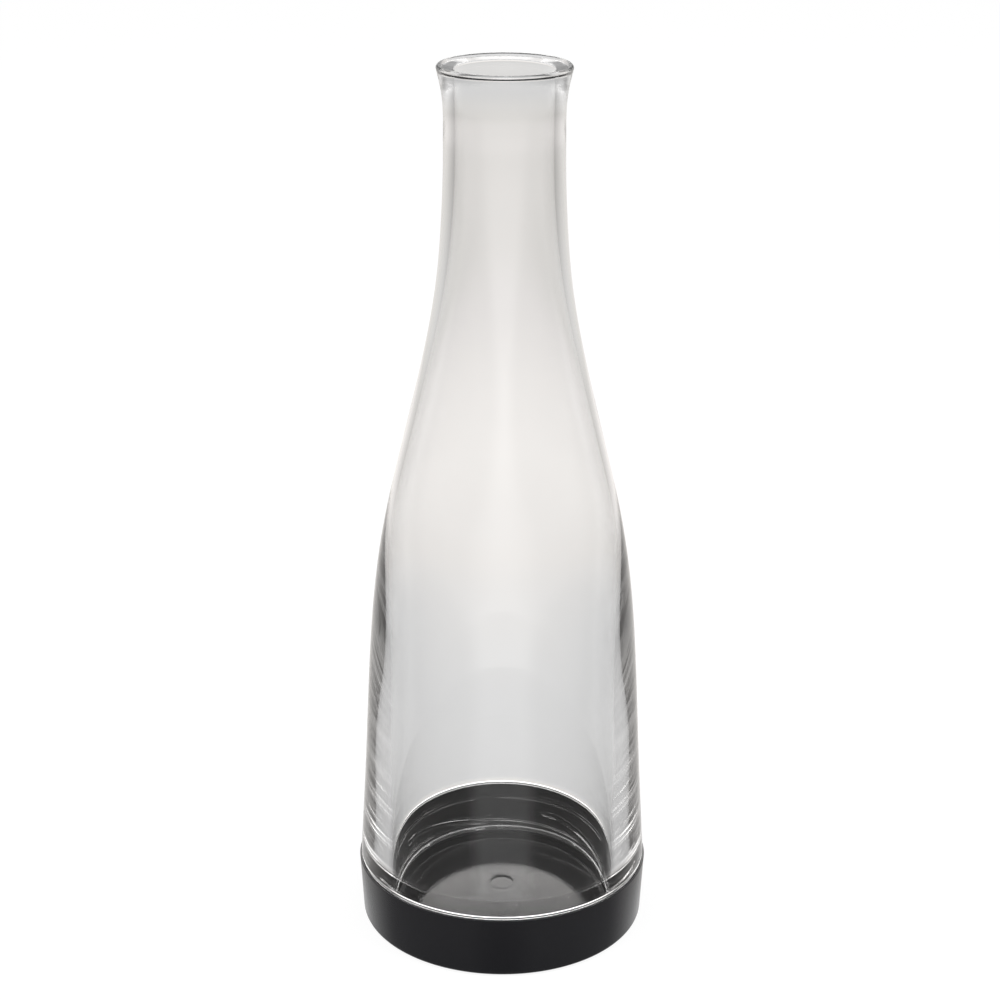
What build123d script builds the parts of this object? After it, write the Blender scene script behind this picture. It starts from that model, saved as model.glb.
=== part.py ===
from build123d import *
import os

# Clear plastic carafe whose bottom is a dark cup that screws on.
# Millimetres, +Z up, origin at the centre of the face that it rests on.

carafe_height = 293.6  # to the top of the bead before its edge is rounded

# Screw cup
cup_height = 21.5
cup_radius = 49.3
cup_wall = 2.2
cup_draft = 1.2
cup_bore_draft = 0.5
cup_rim_radius = 0.4
cup_edge_radius = 2.0
cup_floor = 2.4
cup_fillet_radius = 0.8

# Pushed-up floor of the cup, the ring that it stands on, and the mark of the moulding gate
foot_ring_width = 6.0
dome_rise = 5.5
dome_inset = 0.3
gate_radius = 4.0
gate_depth = 0.5

# Sealing ring on the floor of the cup, under the skirt
seal_thickness = 1.8
seal_width = 5.0
seal_edge_radius = 0.4

# Skirt of the body, which the screw thread is on, and the foot of the body above it
skirt_wall = 6.0
skirt_edge_radius = 0.6
foot_edge_radius = 1.0

# Bell and neck of the body
bell_wall = 2.4
waist_radius = 19.1
neck_wall = 3.7

# Lip: a low bead round the rim, and inside it a land that falls a little to the rounded edge of the throat
lip_height = 25.7
lip_overhang = 2.2
lip_tip_drop = 0.8
lip_tip_radius = 0.8
bead_inset = 1.0
bead_radius = 0.5
land_inset = 1.9
land_drop = 1.0
land_edge_radius = 0.6
throat_drop = 1.5
throat_edge_radius = 0.8

# Gaps between pieces, and how far the foot of the body stands inside the wall of the cup
thread_gap = 1.7
shoulder_gap = 0.3
foot_setback = 0.5
seal_top_gap = 0.2
seal_side_gap = 0.4

# Places along the bell from the shoulder to the waist. A row holds the share of the height, the share of
# the way from waist radius to foot radius, and the shares of the extra wall of the foot and of the neck.
bell_shares = (
    (0.138, 0.932, 0.75, 0.00),
    (0.280, 0.872, 0.50, 0.00),
    (0.382, 0.810, 0.23, 0.00),
    (0.472, 0.712, 0.03, 0.00),
    (0.585, 0.512, 0.00, 0.00),
    (0.715, 0.253, 0.00, 0.05),
    (0.829, 0.081, 0.00, 0.50),
    (0.911, 0.024, 0.00, 0.90),
)
foot_slope_share = 0.055
flare_height_share = 0.658
flare_reach_share = 0.22
flare_slope_share = 0.25

# Radii that follow from the sizes above
cup_bore_radius = cup_radius - cup_wall
cup_floor_radius = cup_bore_radius - cup_bore_draft
foot_ring_radius = cup_radius - cup_draft - cup_edge_radius - foot_ring_width
dome_radius = foot_ring_radius - dome_inset
seal_radius = cup_floor_radius - seal_side_gap
skirt_radius = cup_bore_radius - thread_gap
foot_bore_radius = skirt_radius - skirt_wall
foot_radius = cup_radius - foot_setback
foot_wall = foot_radius - foot_bore_radius
neck_bore_radius = waist_radius - neck_wall
lip_radius = waist_radius + lip_overhang

# Heights that follow from the sizes above
dome_top = cup_floor + dome_rise
skirt_bottom = cup_floor + seal_thickness + seal_top_gap
shoulder_height = cup_height + shoulder_gap
waist_height = carafe_height - lip_height
bell_height = waist_height - shoulder_height


def bell_points(row):
    height_share, radius_share, foot_share, neck_share = row
    height = shoulder_height + height_share * bell_height
    radius = waist_radius + radius_share * (foot_radius - waist_radius)
    wall = bell_wall + foot_share * (foot_wall - bell_wall) + neck_share * (neck_wall - bell_wall)
    return (radius, height), (radius - wall, height)


def corner(shape, point):
    return shape.vertices().sort_by_distance(point)[0]


os.makedirs("parts", exist_ok=True)

# Carafe body: one profile turned about the axis, open at both ends
outside = [bell_points(row)[0] for row in bell_shares]
inside = [bell_points(row)[1] for row in bell_shares]
foot_corner = (foot_radius, shoulder_height)
shoulder_corner = (skirt_radius, shoulder_height)
skirt_outer = (skirt_radius, skirt_bottom)
skirt_inner = (foot_bore_radius, skirt_bottom)
waist_outer = (waist_radius, waist_height)
waist_inner = (neck_bore_radius, waist_height)
flare_point = (waist_radius + flare_reach_share * lip_overhang, waist_height + flare_height_share * lip_height)
lip_tip = (lip_radius, carafe_height - lip_tip_drop)
bead_top = (lip_radius - bead_inset, carafe_height)
land_edge = (lip_radius - land_inset, carafe_height - land_drop)
throat_corner = (neck_bore_radius, carafe_height - throat_drop)

with BuildPart() as carafe_body:
    with BuildSketch(Plane.XZ) as body_profile:
        with BuildLine():
            Spline(foot_corner, *outside, waist_outer, tangents=[(-foot_slope_share, 1), (0, 1)])
            Spline(waist_outer, flare_point, lip_tip, tangents=[(0, 1), (flare_slope_share, 1)])
            Polyline(lip_tip, bead_top, land_edge, throat_corner, waist_inner)
            Spline(waist_inner, *reversed(inside), skirt_inner, tangents=[(0, -1), (0, -1)])
            Polyline(skirt_inner, skirt_outer, shoulder_corner, foot_corner)
        make_face()
        fillet(corner(body_profile, lip_tip), lip_tip_radius)
        fillet(corner(body_profile, bead_top), bead_radius)
        fillet(corner(body_profile, land_edge), land_edge_radius)
        fillet(corner(body_profile, throat_corner), throat_edge_radius)
        fillet(corner(body_profile, foot_corner), foot_edge_radius)
        fillet(corner(body_profile, skirt_outer), skirt_edge_radius)
        fillet(corner(body_profile, skirt_inner), skirt_edge_radius)
    revolve(axis=Axis.Z)
carafe_body.part.label = "carafe_body"
export_step(carafe_body.part, "parts/carafe_body.step")

# Screw cup: it stands on a ring round a pushed-up floor
cup_foot = (cup_radius - cup_draft, 0)
cup_rim_outer = (cup_radius, cup_height)
cup_rim_inner = (cup_bore_radius, cup_height)
cup_floor_corner = (cup_floor_radius, cup_floor)
dome_edge = (dome_radius, cup_floor)

with BuildPart() as screw_base:
    with BuildSketch(Plane.XZ) as cup_profile:
        with BuildLine():
            TangentArc((0, dome_rise), (foot_ring_radius, 0), tangent=(1, 0))
            Polyline((foot_ring_radius, 0), cup_foot, cup_rim_outer, cup_rim_inner, cup_floor_corner, dome_edge)
            TangentArc((0, dome_top), dome_edge, tangent=(1, 0))
            Line((0, dome_top), (0, dome_rise))
        make_face()
        fillet(corner(cup_profile, cup_foot), cup_edge_radius)
        fillet(corner(cup_profile, cup_rim_outer), cup_rim_radius)
        fillet(corner(cup_profile, cup_rim_inner), cup_rim_radius)
        fillet(corner(cup_profile, cup_floor_corner), cup_fillet_radius)
    revolve(axis=Axis.Z)
    with BuildSketch(Plane.XY.offset(dome_top)):
        Circle(gate_radius)
    extrude(amount=-gate_depth, mode=Mode.SUBTRACT)
screw_base.part.label = "screw_base"
export_step(screw_base.part, "parts/screw_base.step")

# Sealing ring: a flat silicone ring with rounded edges
with BuildPart() as base_seal:
    with BuildSketch(Plane.XZ):
        with Locations((seal_radius - seal_width / 2, cup_floor + seal_thickness / 2)):
            RectangleRounded(seal_width, seal_thickness, seal_edge_radius)
    revolve(axis=Axis.Z)
base_seal.part.label = "base_seal"
export_step(base_seal.part, "parts/base_seal.step")
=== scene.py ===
import math

import bpy
import numpy as np
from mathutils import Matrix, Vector


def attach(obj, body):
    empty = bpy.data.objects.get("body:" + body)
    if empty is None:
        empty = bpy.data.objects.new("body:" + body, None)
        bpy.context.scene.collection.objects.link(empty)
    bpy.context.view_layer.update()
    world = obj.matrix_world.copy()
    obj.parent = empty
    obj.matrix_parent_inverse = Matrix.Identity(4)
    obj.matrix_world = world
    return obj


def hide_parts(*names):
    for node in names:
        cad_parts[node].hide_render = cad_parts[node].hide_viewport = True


# Clear carafe that screws into a charcoal cup. Sizes in the dictionaries are millimetres and degrees.
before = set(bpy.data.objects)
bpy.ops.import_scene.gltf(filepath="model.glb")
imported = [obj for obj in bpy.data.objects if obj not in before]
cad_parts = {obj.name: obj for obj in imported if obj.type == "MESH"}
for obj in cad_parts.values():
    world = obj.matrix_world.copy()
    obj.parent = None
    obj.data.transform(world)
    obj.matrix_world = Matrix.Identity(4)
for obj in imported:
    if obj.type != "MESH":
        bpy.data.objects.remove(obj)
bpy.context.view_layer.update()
mm = 0.001
sameSpot = 2e-6  # metres within which two points are one
print("frame loaded:", ", ".join(sorted(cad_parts)))


def srgb(hexCode):
    parts = [int(hexCode[i:i + 2], 16) / 255 for i in (1, 3, 5)]
    linear = [c / 12.92 if c <= 0.04045 else ((c + 0.055) / 1.055) ** 2.4 for c in parts]
    return (*linear, 1.0)


def addNode(tree, kind, settings=None, links=None):
    node = tree.nodes.new(kind)
    for name, value in (settings or {}).items():
        if isinstance(name, int) or name in node.inputs:
            node.inputs[name].default_value = value
        else:
            setattr(node, name, value)
    for name, source in (links or {}).items():
        tree.links.new(source, node.inputs[name])
    return node


def newMaterial(name):
    material = bpy.data.materials.new(name)
    material.use_nodes = True
    return material, material.node_tree, material.node_tree.nodes["Principled BSDF"]


def selectOnly(*obs):
    bpy.ops.object.select_all(action="DESELECT")
    for ob in obs:
        ob.select_set(True)
    bpy.context.view_layer.objects.active = obs[0]


def selectVerts(ob, *spots):
    # in edit mode, the vertices that lie at the given places in the XZ plane
    places = [Vector((radius, 0, height)) * mm for radius, height in spots]
    bpy.ops.mesh.select_all(action="DESELECT")
    bpy.ops.object.mode_set(mode="OBJECT")
    for vert in ob.data.vertices:
        vert.select = any((vert.co - place).length < sameSpot for place in places)
    bpy.ops.object.mode_set(mode="EDIT")


def smoothLine(points, startSlope, endSlope, spacing):
    # cubic line through the points, with the slopes that it has at its two ends
    pts = np.array(points, float)
    steps = np.linalg.norm(np.diff(pts, axis=0), axis=1)
    count = len(pts)
    system, right = np.zeros((count, count)), np.zeros((count, 2))
    system[0, 0] = system[-1, -1] = 1
    right[0] = np.array(startSlope) / np.linalg.norm(startSlope)
    right[-1] = np.array(endSlope) / np.linalg.norm(endSlope)
    for i in range(1, count - 1):
        before, after = steps[i - 1], steps[i]
        system[i, i - 1:i + 2] = after, 2 * (before + after), before
        right[i] = 3 * (after * (pts[i] - pts[i - 1]) / before + before * (pts[i + 1] - pts[i]) / after)
    slopes = np.linalg.solve(system, right)
    line = []
    for i, step in enumerate(steps):
        cuts = max(1, round(step / spacing))
        for t in np.arange(cuts) / cuts:
            fromHere, toNext = 2 * t ** 3 - 3 * t ** 2 + 1, 3 * t ** 2 - 2 * t ** 3
            bendHere, bendNext = t ** 3 - 2 * t ** 2 + t, t ** 3 - t ** 2
            bend = step * (bendHere * slopes[i] + bendNext * slopes[i + 1])
            line.append(fromHere * pts[i] + toNext * pts[i + 1] + bend)
    return [tuple(p) for p in line] + [tuple(pts[-1])]


def turnedPiece(name, outline, corners, segments, closed=True):
    # one vertex is extruded along the outline, its corners are rounded, and it is spun about Z
    bpy.ops.object.select_all(action="DESELECT")
    bpy.ops.mesh.primitive_plane_add(size=mm, location=(0, 0, 0))
    ob = bpy.context.object
    ob.name = ob.data.name = name
    bpy.ops.object.mode_set(mode="EDIT")
    bpy.ops.mesh.select_all(action="SELECT")
    bpy.ops.mesh.merge(type="CENTER")
    points = [Vector((radius, 0, height)) * mm for radius, height in outline]
    bpy.ops.transform.translate(value=points[0])
    for here, there in zip(points, points[1:]):
        bpy.ops.mesh.extrude_region_move(TRANSFORM_OT_translate={"value": there - here})
    if closed:
        selectVerts(ob, outline[0], outline[-1])
        bpy.ops.mesh.edge_face_add()
    for spot, (reach, cuts) in corners:
        selectVerts(ob, spot)
        bpy.ops.mesh.bevel(offset_type="OFFSET", offset=reach * mm, segments=cuts, affect="VERTICES")
    bpy.ops.mesh.select_all(action="SELECT")
    bpy.ops.mesh.spin(steps=segments, angle=2 * math.pi, center=(0, 0, 0), axis=(0, 0, 1))
    bpy.ops.mesh.select_all(action="SELECT")
    bpy.ops.mesh.remove_doubles(threshold=sameSpot)
    bpy.ops.mesh.normals_make_consistent(inside=False)
    bpy.ops.object.mode_set(mode="OBJECT")
    return ob


def threadRib(name, form, path):
    # a small section is extruded step by step along its path of turn, height and size
    bpy.ops.object.select_all(action="DESELECT")
    bpy.ops.mesh.primitive_plane_add(size=1, location=(0, 0, 0), rotation=(math.pi / 2, 0, 0))
    ob = bpy.context.object
    ob.name = ob.data.name = name
    bpy.ops.object.transform_apply(location=True, rotation=True, scale=True)
    root, axis = form["root"], (0, 0, 0)
    for vert in ob.data.vertices:
        radius, width = (form["tip"], form["crest"]) if vert.co.x > 0 else (root, form["foot"])
        vert.co = Vector((radius, 0, math.copysign(width / 2, vert.co.z))) * mm
    bpy.ops.object.mode_set(mode="EDIT")
    bpy.ops.mesh.select_all(action="SELECT")
    turn, height, size = path[0]
    bpy.ops.transform.resize(value=(size,) * 3, center_override=(root * mm, 0, 0))
    bpy.ops.transform.translate(value=(0, 0, height * mm))
    bpy.ops.transform.rotate(value=math.radians(turn), orient_axis="Z", center_override=axis)
    for nextTurn, nextHeight, nextSize in path[1:]:
        rise = (0, 0, (nextHeight - height) * mm)
        bpy.ops.mesh.extrude_region_move(TRANSFORM_OT_translate={"value": rise})
        bpy.ops.transform.rotate(value=math.radians(nextTurn - turn), orient_axis="Z", center_override=axis)
        angle = -math.radians(nextTurn)
        spot = Vector((root * math.cos(angle), root * math.sin(angle), nextHeight)) * mm
        bpy.ops.transform.resize(value=(nextSize / size,) * 3, center_override=spot)
        turn, height, size = nextTurn, nextHeight, nextSize
    bpy.ops.mesh.select_all(action="SELECT")
    bpy.ops.mesh.normals_make_consistent(inside=False)
    bpy.ops.object.mode_set(mode="OBJECT")
    return ob


def copiesRound(ob, count, azimuth):
    # copies spread clockwise round the axis, each with its own mesh, joined into one object
    made = [ob]
    for i in range(1, count):
        twin = ob.copy()
        twin.data = ob.data.copy()
        bpy.context.scene.collection.objects.link(twin)
        made.append(twin)
    for i, one in enumerate(made):
        one.rotation_euler.z = math.radians(azimuth - i * 360 / count)
        selectOnly(one)
        bpy.ops.object.transform_apply(location=False, rotation=True, scale=False)
    selectOnly(*made)
    bpy.ops.object.join()
    return ob


def joinSolid(ob, other):
    modifier = ob.modifiers.new("Join", "BOOLEAN")
    modifier.operation, modifier.solver, modifier.object = "UNION", "EXACT", other
    selectOnly(ob)
    bpy.ops.object.modifier_apply(modifier=modifier.name)
    bpy.data.objects.remove(other)


def finishSurface(ob, material, angle):
    selectOnly(ob)
    bpy.ops.object.shade_smooth_by_angle(angle=math.radians(angle))
    ob.data.materials.clear()
    ob.data.materials.append(material)


# Clear body. A place is its radius and height.
carafeBody = {
    "segments": 240,
    "spacing": 2.0,  # between points of the outline, and closer up to the lip
    "lipSpacing": 1.45,
    "smoothAngle": 32,
    "footCorner": (48.8, 21.8),
    "footSlope": -0.055,  # millimetres that the outside leans in, per millimetre of height
    # outside radius, height, wall
    "bell": (
        (46.78, 55.76, 7.65),
        (45.00, 90.71, 5.90),
        (43.16, 115.81, 4.01),
        (40.25, 137.96, 2.61),
        (34.31, 165.77, 2.40),
        (26.61, 197.76, 2.465),
        (21.51, 225.82, 3.05),
        (19.81, 246.00, 3.57),
    ),
    "waist": (19.1, 267.9),
    "flare": (19.58, 284.8),
    "lipSlope": 0.25,
    "lipTip": (21.3, 292.8),
    "bead": (20.3, 293.6),
    "land": (19.4, 292.6),
    "throat": (15.4, 292.1),
    "boreAtWaist": (15.4, 267.9),
    "boreAtFoot": (39.4, 4.4),
    "skirtLow": (45.4, 4.4),
    "skirtTop": (45.4, 21.8),
    # relief in the underside of the shoulder
    "groove": ((46.5, 21.8), (46.6, 22.3), (47.3, 22.3), (47.4, 21.8)),
    # rounded corners: reach and cuts
    "corners": {
        "lipTip": (0.53, 6),
        "bead": (0.45, 6),
        "land": (0.21, 3),
        "throat": (0.71, 6),
        "footCorner": (0.35, 3),
        "boreAtFoot": (0.6, 4),
        "skirtLow": (0.6, 4),
        "skirtTop": (0.3, 3),
    },
}


def makeBody(sizes):
    bell, up, down = sizes["bell"], (0, 1), (0, -1)
    outer = [(radius, height) for radius, height, wall in bell]
    inner = [(radius - wall, height) for radius, height, wall in reversed(bell)]
    outside = smoothLine(
        [sizes["footCorner"], *outer, sizes["waist"]], (sizes["footSlope"], 1), up, sizes["spacing"]
    )
    lip = smoothLine(
        [sizes["waist"], sizes["flare"], sizes["lipTip"]], up, (sizes["lipSlope"], 1), sizes["lipSpacing"]
    )
    rim = [sizes["bead"], sizes["land"], sizes["throat"]]
    inside = smoothLine([sizes["boreAtWaist"], *inner, sizes["boreAtFoot"]], down, down, sizes["spacing"])
    skirt = [sizes["skirtLow"], sizes["skirtTop"], *sizes["groove"]]
    corners = [(sizes[name], rounding) for name, rounding in sizes["corners"].items()]
    return turnedPiece("carafeBody", outside + lip[1:] + rim + inside + skirt, corners, sizes["segments"])


# Four-start thread on the skirt: each rib starts level, runs down at the lead, and ends in a low run-out
thread = {
    "starts": 4,
    "lead": 40.0,
    "azimuth": 159,  # of the first start, from +X
    "top": 12.7,
    "level": 10,  # turn up to which a rib stays level
    "step": 2,  # turn from one section to the next
}
# Each form has the radius of its root and tip, its width at root and crest, and the turns that it begins and ends
# at. Its ends say what share of the full size it begins with, the turn in which it grows by a whole size, and the
# same two for where it ends.
rib = {"root": 45.0, "tip": 46.5, "foot": 2.7, "crest": 1.1, "turns": (0, 62), "ends": (0.3, 4, 0.2, 7)}
runOut = {"root": 45.0, "tip": 45.7, "foot": 1.3, "crest": 0.5, "turns": (54, 121), "ends": (0.3, 6, 0.2, 8)}
runOutDrop = 1.5
# Short lugs in the cup, each just above the start of a rib
cupLug = {"root": 47.6, "tip": 45.95, "foot": 1.8, "crest": 0.8, "turns": (6, 26), "ends": (0.4, 5, 0.4, 5)}
lugGap = 0.2
# Low bead that keeps drips out of the thread, in four lengths with a gap at each parting of the tool
stopBead = {"root": 45.0, "tip": 46.4, "foot": 1.7, "crest": 0.5, "turns": (0, 82), "ends": (0.3, 4, 0.3, 4)}
beadHeight = 16.4
beadAzimuth = 95


def helixTop(turn):
    return thread["top"] - thread["lead"] * (turn - thread["level"]) / 360


def makeRibs(name, form, azimuth, heightAt):
    begin, end = form["turns"]
    startShare, startPace, endShare, endPace = form["ends"]
    path = []
    for turn in range(begin, end + 1, thread["step"]):
        size = min(1, startShare + (turn - begin) / startPace, endShare + (end - turn) / endPace)
        path.append((turn, heightAt(turn), size))
    return copiesRound(threadRib(name, form, path), thread["starts"], azimuth)


def makeThread():
    begin, end = runOut["turns"]
    runOutTop = helixTop(begin) - runOut["foot"] / 2
    slope = runOutDrop / (end - begin)
    return (
        makeRibs(
            "threadRib", rib, thread["azimuth"], lambda turn: min(thread["top"], helixTop(turn)) - rib["foot"] / 2
        ),
        makeRibs("threadRunOut", runOut, thread["azimuth"], lambda turn: runOutTop - slope * (turn - begin)),
        makeRibs("stopBead", stopBead, beadAzimuth, lambda turn: beadHeight),
    )


# Clear plastic: polycarbonate moulded in a polished tool, colourless, and a little greyer along its thick edges,
# where the eye looks through centimetres of it
def makeClearPlastic():
    material, tree, shader = newMaterial("polycarbonateMouldedClear")
    shader.inputs["Base Color"].default_value = srgb("#FFFFFF")
    shader.inputs["Transmission Weight"].default_value = 1.0
    shader.inputs["Roughness"].default_value = 0.0
    shader.inputs["IOR"].default_value = 1.585
    depth = addNode(tree, "ShaderNodeVolumeAbsorption", {"Color": srgb("#000000"), "Density": 3.0})
    tree.links.new(depth.outputs["Volume"], tree.nodes["Material Output"].inputs["Volume"])
    return material


clearPlastic = makeClearPlastic()
body = makeBody(carafeBody)
for part in makeThread():
    joinSolid(body, part)
finishSurface(body, clearPlastic, carafeBody["smoothAngle"])
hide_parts("carafe_body")
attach(body, "carafe")
print("clear body turned, with its thread:", len(body.data.polygons), "faces")

# Screw cup, with a pushed-up floor
screwCup = {
    "segments": 180,
    "smoothAngle": 35,
    "domeSteps": 16,
    "underRise": 5.5,
    "underRadius": 40.1,
    "footEdge": (48.1, 0),
    "rimOuter": (49.3, 21.5),
    "rimInner": (47.1, 21.5),
    "floorCorner": (46.6, 2.4),
    "domeRise": 5.5,
    "domeRadius": 39.8,
    # mark of the moulding gate, and the draft and rounding of its edge
    "gateRadius": 4.0,
    "gateDepth": 0.5,
    "gateDraft": 0.15,
    "gateEdge": (0.15, 2),
    "corners": {"footEdge": (1.9, 6), "rimOuter": (0.4, 4), "rimInner": (0.4, 4), "floorCorner": (0.8, 4)},
}


def domeLine(rise, radius, base, count, first=0.0):
    # a shallow arc from the axis out to its edge
    bend = (radius ** 2 + rise ** 2) / (2 * rise)
    radii = [first + (radius - first) * i / count for i in range(count + 1)]
    return [(r, base + rise - bend + math.sqrt(bend ** 2 - r ** 2)) for r in radii]


def makeCup(sizes):
    under = domeLine(sizes["underRise"], sizes["underRadius"], 0, sizes["domeSteps"])
    wall = [sizes[name] for name in ("footEdge", "rimOuter", "rimInner", "floorCorner")]
    base, gate = sizes["floorCorner"][1], sizes["gateRadius"]
    floor = domeLine(sizes["domeRise"], sizes["domeRadius"], base, sizes["domeSteps"], gate)
    sunk = floor[0][1] - sizes["gateDepth"]
    mark = [(gate - sizes["gateDraft"], sunk), (0, sunk)]
    corners = [(sizes[name], rounding) for name, rounding in sizes["corners"].items()]
    corners.append((floor[0], sizes["gateEdge"]))
    return turnedPiece("screwCup", under + wall + floor[::-1] + mark, corners, sizes["segments"], closed=False)


def makeLugs():
    return makeRibs(
        "cupLug", cupLug, thread["azimuth"], lambda turn: helixTop(turn) + lugGap + cupLug["foot"] / 2
    )


# Charcoal ABS: the core of the tool is polished, so the inside of the cup shines, and its cavity is finely
# spark-eroded, which gives the outside an even satin with a faint grain. The one turns into the other on the rim.
satinFinish = {
    "rim": (47.2, 47.8),
    "roughness": (0.09, 0.2),
    "grainStrength": (0.01, 0.12),
    "grainWidth": 0.8,
    "grainDepth": 0.02,
}


def makeSatinPlastic():
    material, tree, shader = newMaterial("absSatinCharcoal")
    shader.inputs["Base Color"].default_value = srgb("#17171B")
    shader.inputs["IOR"].default_value = 1.54
    place = addNode(tree, "ShaderNodeTexCoord").outputs["Object"]
    flat = addNode(tree, "ShaderNodeVectorMath", {"operation": "MULTIPLY", 1: (1, 1, 0)}, {0: place})
    radius = addNode(tree, "ShaderNodeVectorMath", {"operation": "LENGTH"}, {0: flat.outputs["Vector"]})
    across = {"From Min": satinFinish["rim"][0] * mm, "From Max": satinFinish["rim"][1] * mm}
    byRadius = []
    for inside, outside in (satinFinish["roughness"], satinFinish["grainStrength"]):
        settings = {**across, "To Min": inside, "To Max": outside}
        share = addNode(tree, "ShaderNodeMapRange", settings, {"Value": radius.outputs["Value"]})
        byRadius.append(share.outputs["Result"])
    tree.links.new(byRadius[0], shader.inputs["Roughness"])
    scale = 1 / (satinFinish["grainWidth"] * mm)
    grain = addNode(tree, "ShaderNodeTexNoise", {"Scale": scale, "Detail": 3.0}, {"Vector": place})
    bump = addNode(
        tree, "ShaderNodeBump", {"Distance": satinFinish["grainDepth"] * mm},
        {"Height": grain.outputs["Fac"], "Strength": byRadius[1]},
    )
    tree.links.new(bump.outputs["Normal"], shader.inputs["Normal"])
    return material


satinPlastic = makeSatinPlastic()
cup = makeCup(screwCup)
joinSolid(cup, makeLugs())
finishSurface(cup, satinPlastic, screwCup["smoothAngle"])
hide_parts("screw_base")
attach(cup, "base")
print("screw cup turned, with its lugs:", len(cup.data.polygons), "faces")

# Silicone ring: soft matt rubber, dark grey, with a faint unevenness
siliconeFinish = {"roughness": 0.7, "waveWidth": 3, "waveDepth": 0.02, "waveStrength": 0.1}


def makeSilicone():
    material, tree, shader = newMaterial("siliconeMouldedGrey")
    shader.inputs["Base Color"].default_value = srgb("#3A3A3C")
    shader.inputs["Roughness"].default_value = siliconeFinish["roughness"]
    shader.inputs["IOR"].default_value = 1.41
    place = addNode(tree, "ShaderNodeTexCoord").outputs["Object"]
    scale = 1 / (siliconeFinish["waveWidth"] * mm)
    wave = addNode(tree, "ShaderNodeTexNoise", {"Scale": scale, "Detail": 2.0}, {"Vector": place})
    relief = {"Strength": siliconeFinish["waveStrength"], "Distance": siliconeFinish["waveDepth"] * mm}
    bump = addNode(tree, "ShaderNodeBump", relief, {"Height": wave.outputs["Fac"]})
    tree.links.new(bump.outputs["Normal"], shader.inputs["Normal"])
    return material


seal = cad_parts["base_seal"]
silicone = makeSilicone()
seal.data.materials.clear()
seal.data.materials.append(silicone)
print("sealing ring dressed")

# Table and surround. The eye sees both white. What the plastic shows is a studio in soft greys: palest low down,
# with one bright place high up behind the carafe. What it reflects is darker in front than what shows through it.
# How far a ray points at the bright place, and the tone there
behind = (
    (0.12, "#686868"), (0.36, "#6F6F6F"), (0.47, "#7A7A7A"), (0.56, "#848484"), (0.66, "#8E8E8E"),
    (0.82, "#858585"), (0.94, "#E7E7E7"), (1.0, "#F6F6F6"),
)
studio = {
    "lamps": {"softLampLeft": (-900, -500, 1300), "softLampRight": (900, -300, 1300)},
    "lampWidth": 900,
    "lampPower": 9.0,
    "fill": 0.6,  # strength of the world as a light on matt surfaces
    "glow": 5.6,
    # sine of the angle above the table's level, tone
    "heights": (
        (-1.0, "#D6D6D7"), (-0.6, "#E6E6E6"), (-0.52, "#F8F8F8"), (-0.44, "#F4F1EE"), (-0.33, "#EAE7E4"),
        (-0.24, "#CFCCCA"), (-0.2, "#BEBCB9"), (0.02, "#C6C6C6"), (0.1, "#8A8A8A"), (0.36, "#888888"),
        (0.44, "#D6D4D2"), (1.0, "#B2B2B2"),
    ),
    "brightWay": (0, 0.8, 0.6),
    "reflected": ((-1.0, "#323232"), (-0.93, "#424242"), (-0.2, "#424242"), *behind),
    "seenThrough": ((-1.0, "#7A7A7A"), (-0.5, "#6E6E6E"), (-0.1, "#666666"), *behind),
    # a dark screen low down at each side darkens what shows through the plastic there
    "screenWay": (0.6, -0.2, -0.77),
    "screen": ((0.0, "#FFFFFF"), (0.74, "#FFFFFF"), (0.84, "#8C8C8C"), (1.0, "#707070")),
    "tableWidth": 12000,
    "tableGlow": 1.1,
    "tableGlowShare": 0.8,  # the rest is the table's own colour, with the shadow of the carafe
    "bounces": 64,  # light is caught inside the thick edges of the body for dozens of turns
}


def toneRamp(tree, source, tones):
    # tones by a value from -1 to 1
    share = addNode(tree, "ShaderNodeMapRange", {"From Min": -1.0, "From Max": 1.0}, {"Value": source})
    ramp = addNode(tree, "ShaderNodeValToRGB", {}, {"Fac": share.outputs["Result"]})
    stops = ramp.color_ramp.elements
    stops.remove(stops[-1])
    for i, (value, tone) in enumerate(tones):
        stop = stops[0] if i == 0 else stops.new((value + 1) / 2)
        stop.position, stop.color = (value + 1) / 2, srgb(tone)
    return ramp.outputs["Color"]


def rayKinds(tree):
    # the light path, and whether the ray comes from the plastic
    path = addNode(tree, "ShaderNodeLightPath")
    kinds = {0: path.outputs["Is Glossy Ray"], 1: path.outputs["Is Transmission Ray"]}
    return path, addNode(tree, "ShaderNodeMath", {"operation": "MAXIMUM"}, kinds).outputs["Value"]


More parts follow.
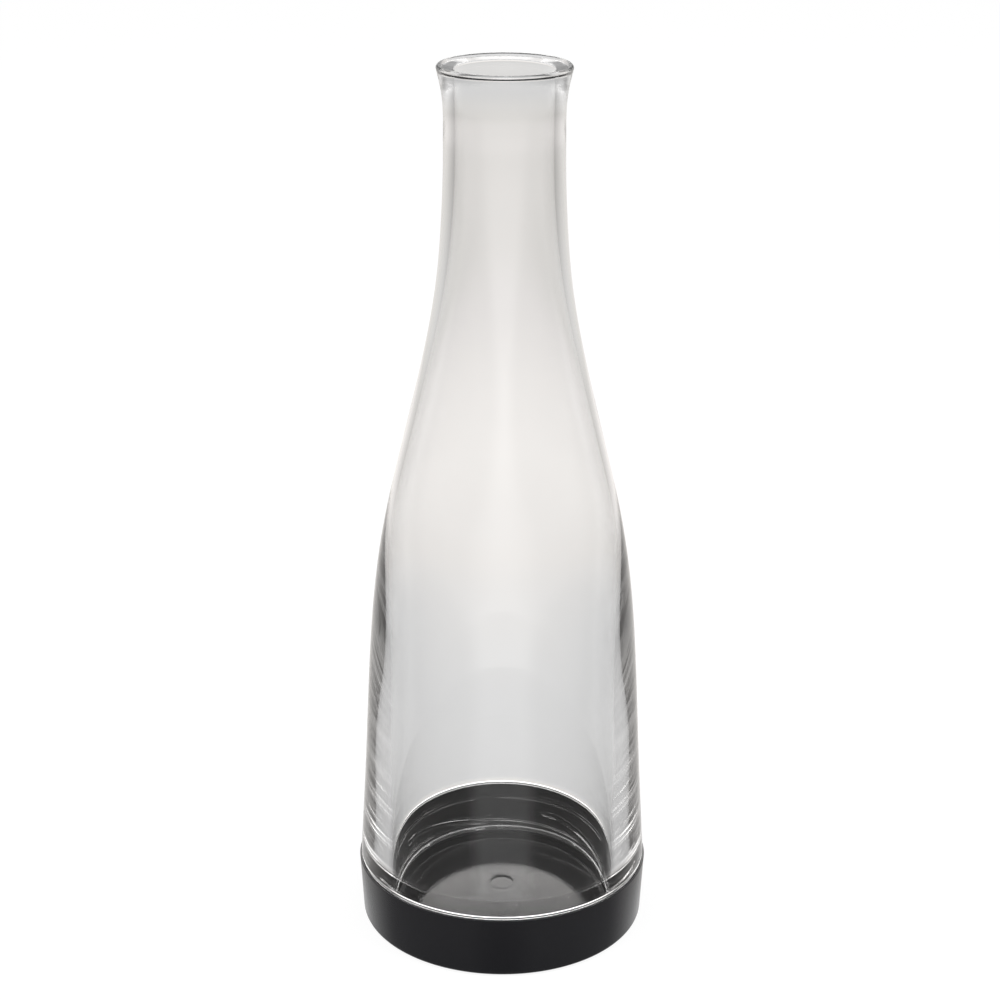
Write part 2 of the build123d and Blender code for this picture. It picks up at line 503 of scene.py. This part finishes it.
def makeSurround():
    world = bpy.data.worlds.new("studio")
    bpy.context.scene.world = world
    world.use_nodes = True
    tree = world.node_tree
    path, fromPlastic = rayKinds(tree)
    way = addNode(tree, "ShaderNodeTexCoord").outputs["Generated"]
    split = addNode(tree, "ShaderNodeSeparateXYZ", {}, {"Vector": way})
    turn = addNode(tree, "ShaderNodeVectorMath", {"operation": "DOT_PRODUCT", 1: studio["brightWay"]}, {0: way})
    reflected = toneRamp(tree, turn.outputs["Value"], studio["reflected"])
    seenThrough = toneRamp(tree, turn.outputs["Value"], studio["seenThrough"])
    # both screens are one, with left and right folded together
    across = addNode(tree, "ShaderNodeMath", {"operation": "ABSOLUTE"}, {0: split.outputs["X"]})
    folded = addNode(
        tree, "ShaderNodeCombineXYZ", {},
        {"X": across.outputs["Value"], "Y": split.outputs["Y"], "Z": split.outputs["Z"]},
    )
    near = addNode(
        tree, "ShaderNodeVectorMath", {"operation": "DOT_PRODUCT", 1: studio["screenWay"]},
        {0: folded.outputs["Vector"]},
    )
    screen = toneRamp(tree, near.outputs["Value"], studio["screen"])
    screened = addNode(tree, "ShaderNodeVectorMath", {"operation": "MULTIPLY"}, {0: seenThrough, 1: screen})
    # inputs 4 and 5 of a Mix node are its vectors A and B, and output 1 is their mix
    side = addNode(
        tree, "ShaderNodeMix", {"data_type": "VECTOR"},
        {"Factor": path.outputs["Is Transmission Ray"], 4: reflected, 5: screened.outputs["Vector"]},
    )
    height = toneRamp(tree, split.outputs["Z"], studio["heights"])
    tone = addNode(tree, "ShaderNodeVectorMath", {"operation": "MULTIPLY"}, {0: height, 1: side.outputs[1]})
    shown = addNode(
        tree, "ShaderNodeBackground", {"Strength": studio["glow"]}, {"Color": tone.outputs["Vector"]}
    )
    level = addNode(
        tree, "ShaderNodeMapRange", {"To Min": studio["fill"], "To Max": 1.0},
        {"Value": path.outputs["Is Camera Ray"]},
    )
    white = addNode(
        tree, "ShaderNodeBackground", {"Color": srgb("#FFFFFF")}, {"Strength": level.outputs["Result"]}
    )
    both = addNode(
        tree, "ShaderNodeMixShader", {},
        {"Fac": fromPlastic, 1: white.outputs["Background"], 2: shown.outputs["Background"]},
    )
    tree.links.new(both.outputs["Shader"], tree.nodes["World Output"].inputs["Surface"])


def makeTable():
    bpy.ops.object.select_all(action="DESELECT")
    bpy.ops.mesh.primitive_plane_add(size=studio["tableWidth"] * mm, location=(0, 0, 0))
    table = bpy.context.object
    table.name = "table"
    material, tree, shader = newMaterial("paleTable")
    shader.inputs["Base Color"].default_value = srgb("#F2F2F2")
    shader.inputs["Roughness"].default_value = 0.9
    shader.inputs["Specular IOR Level"].default_value = 0.0
    path, fromPlastic = rayKinds(tree)
    white = addNode(
        tree, "ShaderNodeEmission", {"Color": srgb("#FFFFFF"), "Strength": studio["tableGlow"]}
    )
    clear = addNode(tree, "ShaderNodeBsdfTransparent")
    matt = shader.outputs["BSDF"]
    toEye = addNode(
        tree, "ShaderNodeMixShader", {"Fac": studio["tableGlowShare"]}, {1: matt, 2: white.outputs["Emission"]}
    )
    toPlastic = addNode(tree, "ShaderNodeMixShader", {}, {"Fac": fromPlastic, 1: matt, 2: clear.outputs["BSDF"]})
    both = addNode(
        tree, "ShaderNodeMixShader", {},
        {"Fac": path.outputs["Is Camera Ray"], 1: toPlastic.outputs["Shader"], 2: toEye.outputs["Shader"]},
    )
    tree.links.new(both.outputs["Shader"], tree.nodes["Material Output"].inputs["Surface"])
    table.data.materials.append(material)


def makeLamp(name, place):
    light = bpy.data.lights.new(name, "AREA")
    light.shape, light.size, light.energy = "DISK", studio["lampWidth"] * mm, studio["lampPower"]
    lamp = bpy.data.objects.new(name, light)
    bpy.context.scene.collection.objects.link(lamp)
    lamp.location = Vector(place) * mm
    lamp.rotation_euler = (-lamp.location).to_track_quat("-Z", "Y").to_euler()
    lamp.visible_glossy = lamp.visible_transmission = lamp.visible_camera = False


# Camera as it stood for the photo: in front, tilted down and turned a hair about its own axis
photoView = {
    "place": (0, -698.8, 416.4),
    "tilt": 20.81,
    "roll": 0.2,
    "focalLength": 82.08,
    "sensor": 36,
    "shift": -0.0033,  # in widths of the picture
}


def makeCamera():
    lens = bpy.data.cameras.new("photoView")
    camera = bpy.data.objects.new("photoView", lens)
    bpy.context.scene.collection.objects.link(camera)
    lens.sensor_width, lens.lens, lens.shift_x = photoView["sensor"], photoView["focalLength"], photoView["shift"]
    camera.location = Vector(photoView["place"]) * mm
    camera.rotation_euler = (math.radians(90 - photoView["tilt"]), 0, 0)
    camera.rotation_euler.rotate_axis("Z", math.radians(photoView["roll"]))
    bpy.context.scene.camera = camera


makeSurround()
makeTable()
for name, place in studio["lamps"].items():
    makeLamp(name, place)
makeCamera()
bpy.context.scene.view_settings.view_transform = "Standard"
for kind in ("max_bounces", "transmission_bounces", "glossy_bounces"):
    setattr(bpy.context.scene.cycles, kind, studio["bounces"])
print("studio set up")
